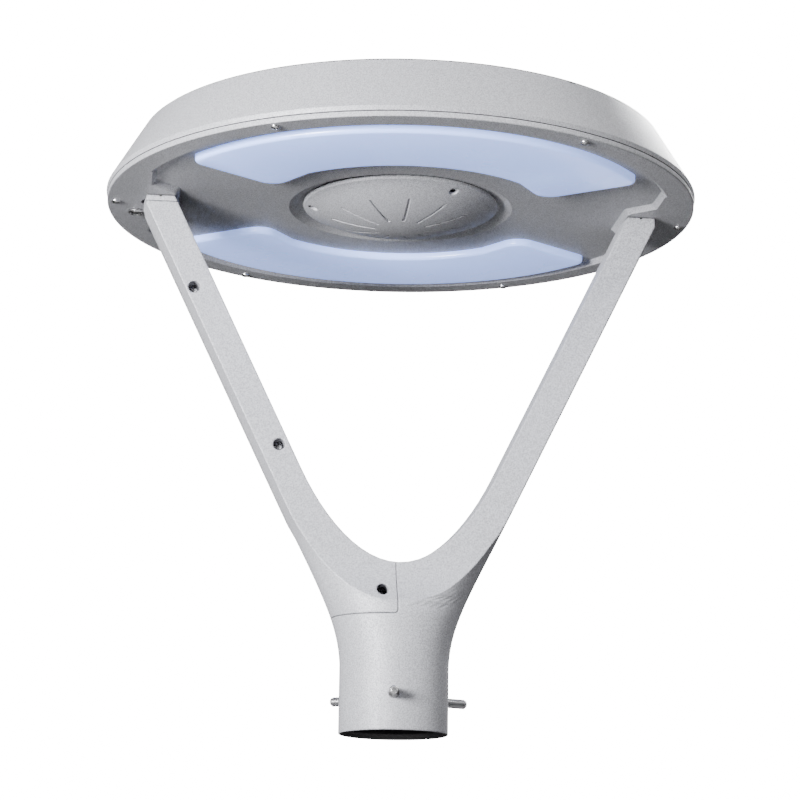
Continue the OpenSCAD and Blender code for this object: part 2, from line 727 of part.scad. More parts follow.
module cap_screws() color("lightgray") {
    for (i = [0:2]) rotate([0, 0, 30 + 120 * i]) translate([0, -cap_screw_r, cap_top - 2.8])
        pan_screw(2, 5.8, 3.7, 2.2, $fn = 32);
}

// ---------- battery ----------

bat_x = bat_l / 2 + 1.5;
bat_y = bat_d / 2 + 0.4;
holder_w = 2 * bat_y + bat_d + 5.6;

module battery_holder() color("dimgray") {
    difference() {
        union() {
            translate([-89, -37, collar_z]) cube([178, 74, 3]);
            for (x = [-bat_x - bat_l / 2 - 3.2, bat_x + bat_l / 2 + 0.8])
                translate([x, -holder_w / 2, collar_z + 3]) cube([2.4, holder_w, 14]);
            for (s = [-1, 1]) translate([-bat_x - bat_l / 2 - 3.2, s > 0 ? holder_w / 2 - 2.4 : -holder_w / 2,
                collar_z + 3]) cube([2 * bat_x + bat_l + 6.4, 2.4, 10]);
        }
        for (p = holder_holes) translate([p.x, p.y, collar_z - 1]) cylinder(r = 1.7, h = 6, $fn = 24);
        translate([0, 0, collar_z - 1]) cylinder(r = 12, h = 6, $fn = 48);
    }
}

module battery_cells() color("royalblue") {
    for (x = [-bat_x, bat_x], y = [-bat_y, bat_y]) translate([x - bat_l / 2, y, bat_z])
        rotate([0, 90, 0]) {
            cylinder(r = bat_d / 2, h = bat_l);
            translate([0, 0, -0.4]) cylinder(r = bat_d * 0.22, h = 0.5, $fn = 32);
            translate([0, 0, bat_l - 0.1]) cylinder(r = bat_d * 0.22, h = 0.5, $fn = 32);
        }
}

module battery_links() color("lightgray") {
    for (x = [-bat_x - bat_l / 2 - 0.7, bat_x + bat_l / 2 + 0.4])
        translate([x, -bat_y - 5, bat_z - 5]) cube([0.3, 2 * bat_y + 10, 10]);
    for (y = [-bat_y, bat_y]) translate([-1.1, y - 5, bat_z - 5]) cube([2.2, 10, 10]);
}

module battery_board() color("seagreen") {
    z0 = bat_z + bat_d / 2 + 0.05;
    translate([-25, -9, z0]) cube([50, 18, 1.2]);
    for (x = [-18, -8]) translate([x, -4, z0 + 1.2]) cube([6, 8, 1]);
    translate([6, -4, z0 + 1.2]) cube([6, 8, 4]);
}

module battery_clamps() color("gray") {
    h = bat_z + bat_d / 2 - collar_z - 3;
    for (x = [-bat_x - 8, bat_x - 8]) translate([x, 0, collar_z + 3]) rotate([90, 0, 90]) linear_extrude(16)
        polygon([[-holder_w / 2 - 1.6, 0], [-holder_w / 2, 0], [-holder_w / 2, h + 0.1],
            [holder_w / 2, h + 0.1], [holder_w / 2, 0], [holder_w / 2 + 1.6, 0],
            [holder_w / 2 + 1.6, h + 1.7], [-holder_w / 2 - 1.6, h + 1.7]]);
}

module holder_screws() color("silver") {
    for (p = holder_holes) translate([p.x, p.y, collar_z + 3]) rotate([180, 0, 0])
        pan_screw(1.5, 5.8, 2.8, 2, $fn = 24);
}

// ---------- charge controller ----------

lead_ys = [-20, -10, 0, 10, 20];
lead_z = deck_z + 15;             // leads enter the controller at this height
lead_x = ctl_x + 6;               // and end on its connectors here

module controller_case() color("darkslategray") {
    difference() {
        union() {
            translate([ctl_x, -ctl_w / 2, deck_z]) cube([ctl_l, ctl_w, ctl_h]);
            translate([ctl_x - 11, -26, deck_z]) cube([ctl_l + 22, 52, 2.4]);
        }
        translate([ctl_x + 2.4, -ctl_w / 2 + 2.4, deck_z + 2.4])
            cube([ctl_l - 4.8, ctl_w - 4.8, ctl_h]);
        for (p = ctl_holes) translate([p.x, p.y, deck_z - 1]) cylinder(r = 1.7, h = 6, $fn = 24);
        for (y = lead_ys) translate([ctl_x - 1, y, lead_z]) rotate([0, 90, 0])
            cylinder(r = 2.1, h = 5, $fn = 24);
    }
    for (x = [ctl_x + 9, ctl_x + ctl_l - 9], y = [-ctl_w / 2 + 9, ctl_w / 2 - 9])
        translate([x, y, deck_z + 2.3]) cylinder(r = 2.5, h = 3.7, $fn = 32);
}

module controller_board() color("seagreen") {
    translate([ctl_x + 3, -ctl_w / 2 + 3, deck_z + 6]) cube([ctl_l - 6, ctl_w - 6, 1.6]);
}

module controller_parts() color("black") {
    z0 = deck_z + 7.6;
    translate([ctl_x + 40, -14, z0]) cube([14, 14, 9]);
    translate([ctl_x + 60, -20, z0]) cube([9, 10, 4]);
    translate([ctl_x + 22, 4, z0]) cube([9, 9, 1.4]);
    for (y = [6, 18]) translate([ctl_x + 64, y, z0]) cylinder(r = 4, h = 11, $fn = 32);
    for (y = lead_ys) translate([lead_x, y - 4, z0]) cube([9, 8, 9]);
}

module controller_lid() color("darkslategray") {
    translate([ctl_x, -ctl_w / 2, deck_z + ctl_h]) cube([ctl_l, ctl_w, 2]);
    translate([ctl_x + 2.6, -ctl_w / 2 + 2.6, deck_z + ctl_h - 2]) difference() {
        cube([ctl_l - 5.2, ctl_w - 5.2, 2]);
        translate([1.6, 1.6, -1]) cube([ctl_l - 8.4, ctl_w - 8.4, 5]);
    }
}

module controller_screws() color("silver") {
    for (p = ctl_holes) translate([p.x, p.y, deck_z + 2.4]) rotate([180, 0, 0])
        pan_screw(1.5, 4.8, 2.8, 2, $fn = 24);
}

// ---------- power button ----------

module button_bezel() color("lightgray") {
    translate([button_x, button_y, 0]) difference() {
        union() {
            translate([0, 0, rim_z - 0.6]) cylinder(r = 6, h = 22, $fn = 48);
            rotate_extrude($fn = 64) polygon([[0, rim_z - 0.6], [bezel_r, rim_z - 0.6],
                [bezel_r, rim_z - 1.6], [bezel_r - 0.9, rim_z - 2.4], [0, rim_z - 2.4]]);
        }
        translate([0, 0, rim_z - 3]) cylinder(r = button_r + 0.08, h = 8, $fn = 64);
        translate([0, 0, rim_z - 3]) cylinder(r = button_r + 0.9, h = 2.2, $fn = 64);
    }
}

module button_cap() color("silver") {
    translate([button_x, button_y, 0]) rotate_extrude($fn = 64)
        polygon([[0, rim_z - 2.6], [button_r - 0.6, rim_z - 2.2], [button_r, rim_z - 1.7],
            [button_r, rim_z + 3], [0, rim_z + 3]]);
}

module button_seal() color("black") {
    translate([button_x, button_y, rim_z - 0.6]) ring(6.02, bezel_r - 0.4, 0.6, $fn = 64);
}

module button_nut() color("silver") {
    translate([button_x, button_y, deck_z]) difference() {
        cylinder(r = 8, h = 4, $fn = 6);
        translate([0, 0, -1]) cylinder(r = 6.02, h = 6, $fn = 48);
    }
}

// ---------- wiring inside the head ----------

board_top = board_z + board_t;
lead_in = lead_x - 12;            // from here the leads run straight into the controller
function straight(p, q) = [p, p + (q - p) / 3, q - (q - p) / 3, q];
function into_case(y) = straight([lead_in, y, lead_z], [lead_x, y, lead_z]);

module panel_wires() color("red") {
    x0 = jb_x - jb.x / 2 + 3;
    z0 = jb_z + jb.z / 2;
    wire([[[x0, 0, z0], [x0 - 34, 0, z0], [-186, -26, deck_z + 12], [-96, -50, deck_z + 12]],
        [[-96, -50, deck_z + 12], [60, -110, deck_z + 12], [lead_in - 16, -10, lead_z],
        [lead_in, -10, lead_z]], into_case(-10)], 1.4);
}
module battery_wires() color("orangered") {
    z0 = bat_z + bat_d / 2 + 3.4;
    wire([straight([12, 0, z0], [50, 0, z0]), [[50, 0, z0], [88, 0, z0], [lead_in - 12, 0, lead_z],
        [lead_in, 0, lead_z]], into_case(0)], 1.4);
}
module led_wires() color("gold") {
    both_sides() wire([[[92, -96, board_top + 1], [92, -66, board_top + 1],
        [lead_in - 14, -20, lead_z], [lead_in, -20, lead_z]], into_case(-20)], 1);
}
module button_wires() color("gray") {
    z0 = rim_z + 21.4;
    wire([[[button_x, button_y, z0], [button_x, button_y, z0 + 12], [-166, 24, deck_z + 10],
        [-96, 46, deck_z + 10]], [[-96, 46, deck_z + 10], [60, 110, deck_z + 10],
        [lead_in - 16, 10, lead_z], [lead_in, 10, lead_z]], into_case(10)], 1);
}

bracket();
arm_cover();
arm_cover_screws();
set_screw_front();
set_screw_right();
set_screw_left();
arm_gaskets();
arm_bolts();
arm_washers();
lower_housing();
rim_screws();
head_seal();
upper_housing();
solar_glass();
solar_cells();
solar_backsheet();
glass_seal();
junction_box();
junction_lid();
diffuser_front();
diffuser_rear();
diffuser_seals();
board_frame_front();
board_frame_rear();
led_board_front();
led_board_rear();
leds_front();
leds_rear();
board_screws();
centre_cap();
cap_seal();
cap_screws();
battery_holder();
battery_cells();
battery_links();
battery_board();
battery_clamps();
holder_screws();
controller_case();
controller_board();
controller_parts();
controller_lid();
controller_screws();
button_bezel();
button_cap();
button_nut();
button_seal();
panel_wires();
battery_wires();
led_wires();
button_wires();
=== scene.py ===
"""Looks of a solar post-top street lamp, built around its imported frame.

Every size is in metres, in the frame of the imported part: +Z up, the front towards -Y and the
two arms at -X and +X.
"""

from __future__ import annotations

import json
import logging
import math
from dataclasses import dataclass, replace
from enum import Enum

import bmesh
import bpy
from mathutils import Matrix, Vector


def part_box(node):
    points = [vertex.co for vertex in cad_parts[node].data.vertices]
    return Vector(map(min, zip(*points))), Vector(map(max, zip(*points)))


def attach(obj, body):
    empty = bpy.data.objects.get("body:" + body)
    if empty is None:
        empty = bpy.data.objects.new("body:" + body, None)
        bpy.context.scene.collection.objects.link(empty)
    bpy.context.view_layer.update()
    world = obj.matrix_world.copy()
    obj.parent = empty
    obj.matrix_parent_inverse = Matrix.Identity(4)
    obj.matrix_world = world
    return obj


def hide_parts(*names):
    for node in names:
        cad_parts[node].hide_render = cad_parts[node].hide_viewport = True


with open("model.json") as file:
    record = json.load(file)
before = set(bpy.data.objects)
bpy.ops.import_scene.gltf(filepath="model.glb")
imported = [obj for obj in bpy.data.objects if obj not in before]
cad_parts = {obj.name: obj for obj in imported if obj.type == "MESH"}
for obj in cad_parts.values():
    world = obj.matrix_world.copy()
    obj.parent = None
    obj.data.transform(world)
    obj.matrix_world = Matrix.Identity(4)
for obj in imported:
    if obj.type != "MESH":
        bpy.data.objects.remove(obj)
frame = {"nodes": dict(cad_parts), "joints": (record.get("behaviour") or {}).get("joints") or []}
log = logging.getLogger("lamp")

MM = 0.001
Colour = tuple[float, float, float]
Place = tuple[float, float, float]
Span = tuple[float, float]

# Ends of the ranges that masks and noises are mapped from and to.
ON: Span = (0.0, 1.0)
OFF: Span = (1.0, 0.0)
BROAD: Span = (0.3, 0.7)
MIDDLE: Span = (0.35, 0.65)


class Axis(Enum):
    """A coordinate axis, as its index in a vector."""

    X = 0
    Y = 1
    Z = 2


# ---------- materials ----------


def toned(colour: Colour, factor: float, lift: float = 0.0) -> Colour:
    """A lighter or darker tone of a colour.

    Args:
        colour: The colour.
        factor: What each part is multiplied by.
        lift: What is added to each part.

    Returns:
        The tone, with no part above 1.
    """
    return tuple(min(1.0, part * factor + lift) for part in colour)


def scaled(span: Span, factor: float) -> Span:
    """A span with both ends multiplied.

    Args:
        span: The span.
        factor: What each end is multiplied by.

    Returns:
        The new span.
    """
    return span[0] * factor, span[1] * factor


class Recipe:
    """A node material under construction, with short names for the nodes that finishes use."""

    bevel_samples = 6

    def __init__(self, name: str) -> None:
        """Makes an empty material with one Principled shader.

        Args:
            name: The material's name.
        """
        self.material = bpy.data.materials.new(name)
        self.material.use_nodes = True
        self.nodes = self.material.node_tree.nodes
        self.links = self.material.node_tree.links
        self.nodes.clear()
        self.output = self.nodes.new("ShaderNodeOutputMaterial")
        self.shader = self.nodes.new("ShaderNodeBsdfPrincipled")
        self.links.new(self.shader.outputs["BSDF"], self.output.inputs["Surface"])
        self.coords = self.nodes.new("ShaderNodeTexCoord").outputs["Object"]

    def set(self, **values: object) -> None:
        """Sets plain values on the shader's sockets, with underscores for spaces.

        Args:
            **values: Socket names and their values.
        """
        for name, value in values.items():
            self.shader.inputs[name.replace("_", " ")].default_value = value

    def into(self, socket: str, source: bpy.types.NodeSocket) -> None:
        """Links a node's output into one of the shader's sockets.

        Args:
            socket: The socket's name.
            source: The output.
        """
        self.links.new(source, self.shader.inputs[socket])

    def noise(self, scale: float, detail: float = 3.0, roughness: float = 0.55,
              distortion: float = 0.0) -> bpy.types.NodeSocket:
        """Adds a noise texture on the piece's own coordinates.

        Args:
            scale: Features per metre.
            detail: Number of finer octaves.
            roughness: Strength of the finer octaves.
            distortion: How far the noise bends itself.

        Returns:
            The noise's value.
        """
        node = self.nodes.new("ShaderNodeTexNoise")
        node.inputs["Scale"].default_value = scale
        node.inputs["Detail"].default_value = detail
        node.inputs["Roughness"].default_value = roughness
        node.inputs["Distortion"].default_value = distortion
        self.links.new(self.coords, node.inputs["Vector"])
        return node.outputs["Fac"]

    def cells(self, scale: float) -> bpy.types.NodeSocket:
        """Adds a Voronoi texture.

        Args:
            scale: Cells per metre.

        Returns:
            The distance to the nearest cell's centre.
        """
        node = self.nodes.new("ShaderNodeTexVoronoi")
        node.inputs["Scale"].default_value = scale
        self.links.new(self.coords, node.inputs["Vector"])
        return node.outputs["Distance"]

    def remap(self, value: bpy.types.NodeSocket, source: Span, target: Span
              ) -> bpy.types.NodeSocket:
        """Maps a value's range to another one, clamped.

        Args:
            value: The value to map.
            source: The two ends of its range.
            target: The results at those ends.

        Returns:
            The mapped value.
        """
        node = self.nodes.new("ShaderNodeMapRange")
        for socket, number in zip(("From Min", "From Max", "To Min", "To Max"), source + target):
            node.inputs[socket].default_value = number
        self.links.new(value, node.inputs["Value"])
        return node.outputs["Result"]

    def math(self, operation: str, first: object, second: object = 0.0) -> bpy.types.NodeSocket:
        """Adds a math node.

        Args:
            operation: The operation's name.
            first: A socket or a number.
            second: A socket or a number.

        Returns:
            The result.
        """
        node = self.nodes.new("ShaderNodeMath")
        node.operation = operation
        for socket, value in zip(node.inputs, (first, second)):
            if isinstance(value, bpy.types.NodeSocket):
                self.links.new(value, socket)
            else:
                socket.default_value = value
        return node.outputs["Value"]

    def blend(self, factor: bpy.types.NodeSocket, first: object, second: object
              ) -> bpy.types.NodeSocket:
        """Mixes two colours.

        Args:
            factor: The share of the second colour.
            first: A colour or a socket.
            second: A colour or a socket.

        Returns:
            The mixed colour.
        """
        node = self.nodes.new("ShaderNodeMix")
        node.data_type = "RGBA"
        self.links.new(factor, node.inputs["Factor"])
        for letter, value in (("A", first), ("B", second)):
            socket = next(s for s in node.inputs if s.name == letter and s.type == "RGBA")
            if isinstance(value, bpy.types.NodeSocket):
                self.links.new(value, socket)
            else:
                socket.default_value = (*value, 1.0)
        return next(s for s in node.outputs if s.type == "RGBA")

    def relief(self, height: bpy.types.NodeSocket, depth: float, edge: float = 0.0) -> None:
        """Gives the surface a fine relief and softly rounded edges.

        Args:
            height: The relief's height from 0 to 1.
            depth: Depth of the relief in metres.
            edge: Radius of the rounded edges in metres, 0 for none.
        """
        bump = self.nodes.new("ShaderNodeBump")
        bump.inputs["Distance"].default_value = depth
        bump.inputs["Strength"].default_value = 1.0
        self.links.new(height, bump.inputs["Height"])
        if edge > 0:
            rounded = self.nodes.new("ShaderNodeBevel")
            rounded.samples = self.bevel_samples
            rounded.inputs["Radius"].default_value = edge
            self.links.new(rounded.outputs["Normal"], bump.inputs["Normal"])
        self.into("Normal", bump.outputs["Normal"])

    def axis(self, axis: Axis) -> bpy.types.NodeSocket:
        """One coordinate of the piece's own position.

        Args:
            axis: Which coordinate.

        Returns:
            The coordinate.
        """
        node = self.nodes.new("ShaderNodeSeparateXYZ")
        self.links.new(self.coords, node.inputs["Vector"])
        return node.outputs[axis.value]


@dataclass(frozen=True)
class PowderCoat:
    """Fine-textured silver-grey powder coat on cast aluminium."""

    name: str = "silver_powder_coat"
    colour: Colour = (0.325, 0.328, 0.352)
    grain: float = 1050.0
    depth: float = 0.11 * MM
    edge: float = 0.9 * MM
    pebbles: Span = (0.41, 0.59)
    hollow: float = 0.74
    crest: float = 1.26
    drift_scale: float = 9.0
    drift_tone: float = 0.93
    drift_share: float = 0.18
    flake_scale: float = 1500.0
    flake_size: Span = (0.05, 0.22)
    flake_tone: float = 1.25
    flake_share: float = 0.35
    roughness: Span = (0.62, 0.44)
    metallic: float = 0.12
    specular: float = 0.45
    # Painted shade: bore, bore_top and mouth mark where the pole socket's bore and lower end face
    # are darkened to near black.
    bore: float = 0.0
    bore_top: float = 94.0 * MM
    mouth: float = 0.2 * MM
    bore_shade_colour: Colour = (0.022, 0.021, 0.024)
    # Painted shade: seam, seam_radius and seam_width mark the dark line painted along the shaded
    # groove between the housings.
    seam: float = 0.0
    seam_radius: float = 0.0
    seam_width: Span = (0.30 * MM, 0.48 * MM)
    seam_shade_colour: Colour = (0.03, 0.03, 0.033)

    def material(self) -> bpy.types.Material:
        """Makes the material: a pebbled skin, pale flakes and slow drifts in tone, with painted
        shade in the socket's bore and along the housings' seam where these are set.

        Returns:
            The material.
        """
        r = Recipe(self.name)
        fine = r.noise(self.grain, detail=2.0, roughness=0.6)
        drift = r.noise(self.drift_scale, detail=3.0, roughness=0.5)
        flakes = r.remap(r.cells(self.flake_scale), self.flake_size, OFF)
        pebbled = r.blend(r.remap(fine, self.pebbles, ON), toned(self.colour, self.hollow),
                          toned(self.colour, self.crest))
        drifting = r.math("MULTIPLY", r.remap(drift, MIDDLE, ON), self.drift_share)
        tinted = r.blend(drifting, pebbled, toned(self.colour, self.drift_tone))
        paint = r.blend(r.math("MULTIPLY", flakes, self.flake_share), tinted,
                        toned(self.colour, self.flake_tone))
        # Painted shade: the socket's bore and mouth darkened to near black.
        if self.bore > 0:
            paint = r.blend(self.inside(r), paint, self.bore_shade_colour)
        # Painted shade: a dark line along the groove between the housings.
        if self.seam > 0:
            paint = r.blend(self.seam_shade_mask(r), paint, self.seam_shade_colour)
        r.into("Base Color", paint)
        r.into("Roughness", r.remap(fine, BROAD, self.roughness))
        r.set(Metallic=self.metallic, Specular_IOR_Level=self.specular)
        r.relief(fine, self.depth, self.edge)
        return r.material

    def inside(self, r: Recipe) -> bpy.types.NodeSocket:
        """Where painted shade darkens the pole socket's bore and the lower end face of its mouth.

        Args:
            r: The material being made.

        Returns:
            1 inside the bore and on its mouth, 0 outside.
        """
        z = r.axis(Axis.Z)
        within = r.math("LESS_THAN", self.reach(r), self.bore)
        low = r.math("LESS_THAN", z, self.bore_top)
        mouth = r.math("LESS_THAN", z, self.mouth)
        return r.math("MAXIMUM", r.math("MULTIPLY", within, low), mouth)

    def seam_shade_mask(self, r: Recipe) -> bpy.types.NodeSocket:
        """Where painted shade darkens the groove between the two housings.

        Args:
            r: The material being made.

        Returns:
            1 on the line and 0 beside it.
        """
        off = r.math("ABSOLUTE", r.math("SUBTRACT", r.axis(Axis.Z), self.seam))
        outer = r.math("GREATER_THAN", self.reach(r), self.seam_radius)
        return r.math("MULTIPLY", r.remap(off, self.seam_width, OFF), outer)

    def reach(self, r: Recipe) -> bpy.types.NodeSocket:
        """Distance from the pole's axis.

        Args:
            r: The material being made.

        Returns:
            The distance.
        """
        x, y = r.axis(Axis.X), r.axis(Axis.Y)
        return r.math("SQRT", r.math("ADD", r.math("MULTIPLY", x, x), r.math("MULTIPLY", y, y)))


@dataclass(frozen=True)
class OpalPlastic:
    """Opal diffuser plastic with a cold tint, a satin gloss and a painted glow of its own, as
    nothing behind it is lit.
    """

    name: str = "opal_diffuser"
    colour: Colour = (0.36, 0.49, 1.0)
    painted_glow: float = 1.22
    pale: float = 1.04
    deep: float = 0.965
    cloud_scale: float = 22.0
    speck_scale: float = 700.0
    speck_share: float = 0.12
    roughness: Span = (0.24, 0.32)
    coat: float = 0.3
    coat_roughness: float = 0.10
    skin_scale: float = 160.0
    skin_depth: float = 0.02 * MM
    edge: float = 0.5 * MM

    def material(self) -> bpy.types.Material:
        """Makes the material: milky, slightly mottled, with a very faint orange-peel skin and a
        painted glow in its own tone.

        Returns:
            The material.
        """
        r = Recipe(self.name)
        cloud = r.noise(self.cloud_scale, detail=4.0, roughness=0.55)
        speck = r.noise(self.speck_scale, detail=2.0, roughness=0.6)
        deep = toned(self.colour, self.deep)
        tone = r.blend(r.remap(cloud, BROAD, ON), toned(self.colour, self.pale), deep)
        grain = r.math("MULTIPLY", r.remap(speck, MIDDLE, ON), self.speck_share)
        r.into("Base Color", r.blend(grain, tone, deep))
        r.into("Roughness", r.remap(cloud, BROAD, self.roughness))
        # Painted light: the emission makes the opal glow by itself to brighten it.
        r.set(Coat_Weight=self.coat, Coat_Roughness=self.coat_roughness,
              Emission_Strength=self.painted_glow)
        r.into("Emission Color", tone)
        r.relief(r.noise(self.skin_scale, detail=2.0), self.skin_depth, self.edge)
        return r.material


@dataclass(frozen=True)
class BareMetal:
    """Uncoated metal with fine turning or rolling marks."""

    name: str
    colour: Colour
    roughness: float
    marks: float = 1200.0
    depth: float = 0.02 * MM
    edge: float = 0.2 * MM
    stain_scale: float = 60.0
    stain_tone: float = 0.72
    stain_range: Span = (0.35, 0.75)
    stain_share: Span = (0.0, 0.7)
    polish: Span = (0.8, 1.35)

    def material(self) -> bpy.types.Material:
        """Makes the material: bright metal with fine marks, faint stains and worn tone.

        Returns:
            The material.
        """
        r = Recipe(self.name)
        fine = r.noise(self.marks, detail=3.0, roughness=0.6)
        stain = r.noise(self.stain_scale, detail=3.0, roughness=0.5)
        stained = r.remap(stain, self.stain_range, self.stain_share)
        r.into("Base Color", r.blend(stained, self.colour, toned(self.colour, self.stain_tone)))
        r.into("Roughness", r.remap(fine, BROAD, scaled(self.polish, self.roughness)))
        r.set(Metallic=1.0)
        r.relief(fine, self.depth, self.edge)
        return r.material


@dataclass(frozen=True)
class Moulded:
    """Moulded plastic or rubber with a spark-eroded grain."""

    name: str
    colour: Colour
    roughness: float
    grain: float = 1300.0
    depth: float = 0.05 * MM
    edge: float = 0.3 * MM
    flow_scale: float = 30.0
    flow_bend: float = 0.6
    flow_tone: float = 1.22
    flow_lift: float = 0.004
    polish: Span = (0.88, 1.12)

    def material(self) -> bpy.types.Material:
        """Makes the material: an even grain with faint flow marks.

        Returns:
            The material.
        """
        r = Recipe(self.name)
        fine = r.noise(self.grain, detail=2.0, roughness=0.6)
        flow = r.noise(self.flow_scale, detail=3.0, roughness=0.5, distortion=self.flow_bend)
        r.into("Base Color", r.blend(r.remap(flow, BROAD, ON), self.colour,
                                     toned(self.colour, self.flow_tone, self.flow_lift)))
        r.into("Roughness", r.remap(fine, BROAD, scaled(self.polish, self.roughness)))
        r.relief(fine, self.depth, self.edge)
        return r.material


@dataclass(frozen=True)
class SolderMask:
    """A circuit board's mask with traces and plated holes."""

    name: str
    colour: Colour
    trace: Colour
    plating: Colour = (0.72, 0.70, 0.62)
    trace_scale: float = 160.0
    trace_width: float = 0.035
    trace_share: float = 0.55
    pad_scale: float = 150.0
    pad_size: Span = (0.10, 0.14)
    roughness: Span = (0.34, 0.22)
    depth: float = 0.04 * MM

    def material(self) -> bpy.types.Material:
        """Makes the material: a glossy mask over a net of traces, with round pads.

        Returns:
            The material.
        """
        r = Recipe(self.name)
        bricks = r.nodes.new("ShaderNodeTexBrick")
        bricks.inputs["Scale"].default_value = self.trace_scale
        bricks.inputs["Mortar Size"].default_value = self.trace_width
        for socket, level in (("Color1", 0.0), ("Color2", 0.0), ("Mortar", 1.0)):
            bricks.inputs[socket].default_value = (level, level, level, 1.0)
        r.links.new(r.coords, bricks.inputs["Vector"])
        pads = r.remap(r.cells(self.pad_scale), self.pad_size, OFF)
        lines = r.math("MULTIPLY", bricks.outputs["Color"], self.trace_share)
        masked = r.blend(lines, self.colour, self.trace)
        r.into("Base Color", r.blend(pads, masked, self.plating))
        r.into("Roughness", r.remap(pads, ON, self.roughness))
        r.relief(r.math("MAXIMUM", pads, lines), self.depth)
        return r.material


@dataclass(frozen=True)
class Silicon:
    """Solar cells: dark blue silicon with fingers and busbars of silver."""

    name: str = "silicon_cells"
    dark: Colour = (0.010, 0.022, 0.085)
    light: Colour = (0.028, 0.058, 0.180)
    finger: float = 2.0 * MM
    finger_line: float = 0.14
    finger_share: float = 0.35
    finger_colour: Colour = (0.50, 0.52, 0.55)
    busbar: float = 18.0 * MM
    busbar_line: float = 0.07
    busbar_colour: Colour = (0.66, 0.67, 0.68)
    grain: float = 120.0
    grain_bend: float = 0.4
    roughness: Span = (0.18, 0.30)
    depth: float = 0.03 * MM

    def material(self) -> bpy.types.Material:
        """Makes the material: crystal grain under evenly spaced silver lines.

        Returns:
            The material.
        """
        r = Recipe(self.name)
        grain = r.noise(self.grain, detail=4.0, roughness=0.65, distortion=self.grain_bend)
        base = r.blend(r.remap(grain, BROAD, ON), self.dark, self.light)
        across = self.lines(r, Axis.Y, self.finger, self.finger_line)
        along = self.lines(r, Axis.X, self.busbar, self.busbar_line)
        silver = r.blend(r.math("MULTIPLY", across, self.finger_share), base, self.finger_colour)
        r.into("Base Color", r.blend(along, silver, self.busbar_colour))
        r.into("Roughness", r.remap(grain, BROAD, self.roughness))
        r.relief(r.math("MAXIMUM", across, along), self.depth)
        return r.material

    def lines(self, r: Recipe, axis: Axis, pitch: float, share: float) -> bpy.types.NodeSocket:
        """Evenly spaced lines across one axis.

        Args:
            r: The material being made.
            axis: The axis that the lines cross.
            pitch: Distance from line to line.
            share: A line's share of the pitch.

        Returns:
            1 on a line and 0 beside it.
        """
        phase = r.math("FRACT", r.math("DIVIDE", r.axis(axis), pitch))
        return r.math("LESS_THAN", phase, share)


@dataclass(frozen=True)
class PanelGlass:
    """The panel's clear tempered glass, faintly blue in its edge."""

    name: str = "panel_glass"
    tint: Colour = (0.80, 0.91, 1.0)
    dust: Colour = (0.62, 0.66, 0.70)
    dust_scale: float = 45.0
    dust_range: Span = (0.45, 0.75)
    dust_share: Span = (0.0, 0.10)
    smear_range: Span = (0.35, 0.75)
    roughness: Span = (0.02, 0.12)
    index: float = 1.5
    wave_scale: float = 90.0
    depth: float = 0.01 * MM
    edge: float = 0.6 * MM

    def material(self) -> bpy.types.Material:
        """Makes the material: clear glass with dust in its finish.

        Returns:
            The material.
        """
        r = Recipe(self.name)
        dust = r.noise(self.dust_scale, detail=5.0, roughness=0.6)
        dusty = r.remap(dust, self.dust_range, self.dust_share)
        r.into("Base Color", r.blend(dusty, self.tint, self.dust))
        r.into("Roughness", r.remap(dust, self.smear_range, self.roughness))
        r.set(Transmission_Weight=1.0, IOR=self.index)
        r.relief(r.noise(self.wave_scale, detail=2.0), self.depth, self.edge)
        return r.material


@dataclass(frozen=True)
class ShrinkWrap:
    """The plain wrap of the battery cells, with bright end caps."""

    name: str = "cell_shrink_wrap"
    colour: Colour = (0.03, 0.13, 0.46)
    cap_colour: Colour = (0.70, 0.70, 0.68)
    cell_middle: float = 36.5 * MM
    wrap_half: float = 34.6 * MM
    pale: float = 1.5
    ripple_scale: float = 180.0
    ripple_bend: float = 0.8
    ripple_range: Span = (0.35, 0.7)
    roughness: Span = (0.22, 0.34)
    depth: float = 0.06 * MM

    def material(self) -> bpy.types.Material:
        """Makes the material: glossy film with shrink ripples, and metal past the wrap's ends.

        Returns:
            The material.
        """
        r = Recipe(self.name)
        ripple = r.noise(self.ripple_scale, detail=3.0, roughness=0.5,
                         distortion=self.ripple_bend)
        wrap = r.blend(r.remap(ripple, self.ripple_range, ON), self.colour,
                       toned(self.colour, self.pale))
        along = r.math("ABSOLUTE", r.axis(Axis.X))
        off = r.math("ABSOLUTE", r.math("SUBTRACT", along, self.cell_middle))
        end = r.math("GREATER_THAN", off, self.wrap_half)
        r.into("Base Color", r.blend(end, wrap, self.cap_colour))
        r.into("Metallic", end)
        r.into("Roughness", r.remap(ripple, BROAD, self.roughness))
        r.relief(ripple, self.depth)
        return r.material


@dataclass(frozen=True)
class Phosphor:
    """Light chips: a yellow phosphor window in a white package."""

    name: str = "phosphor_chips"
    deep: Colour = (0.86, 0.62, 0.10)
    pale: Colour = (0.95, 0.78, 0.26)
    grain: float = 2500.0
    depth: float = 0.02 * MM
    roughness: Span = (0.25, 0.40)

    def material(self) -> bpy.types.Material:
        """Makes the material: yellow gel with a grain of phosphor.

        Returns:
            The material.
        """
        r = Recipe(self.name)
        grain = r.noise(self.grain, detail=2.0, roughness=0.6)
        r.into("Base Color", r.blend(r.remap(grain, MIDDLE, ON), self.deep, self.pale))
        r.into("Roughness", r.remap(grain, BROAD, self.roughness))
        r.relief(grain, self.depth)
        return r.material


@dataclass(frozen=True)
class StudioFloor:
    """The plain pale floor of the studio."""

    name: str = "studio_floor"
    colour: Colour = (0.82, 0.82, 0.83)
    worn_tone: float = 0.985
    worn_scale: float = 1.5
    roughness: Span = (0.80, 0.88)

    def material(self) -> bpy.types.Material:
        """Makes the material: matte, with a breath of unevenness.

        Returns:
            The material.
        """
        r = Recipe(self.name)
        soft = r.noise(self.worn_scale, detail=3.0, roughness=0.5)
        r.into("Base Color", r.blend(soft, self.colour, toned(self.colour, self.worn_tone)))
        r.into("Roughness", r.remap(soft, BROAD, self.roughness))
        return r.material


# ---------- shared tools ----------

MERGE_DISTANCE = 2e-6
SAME_POINT = 1e-7


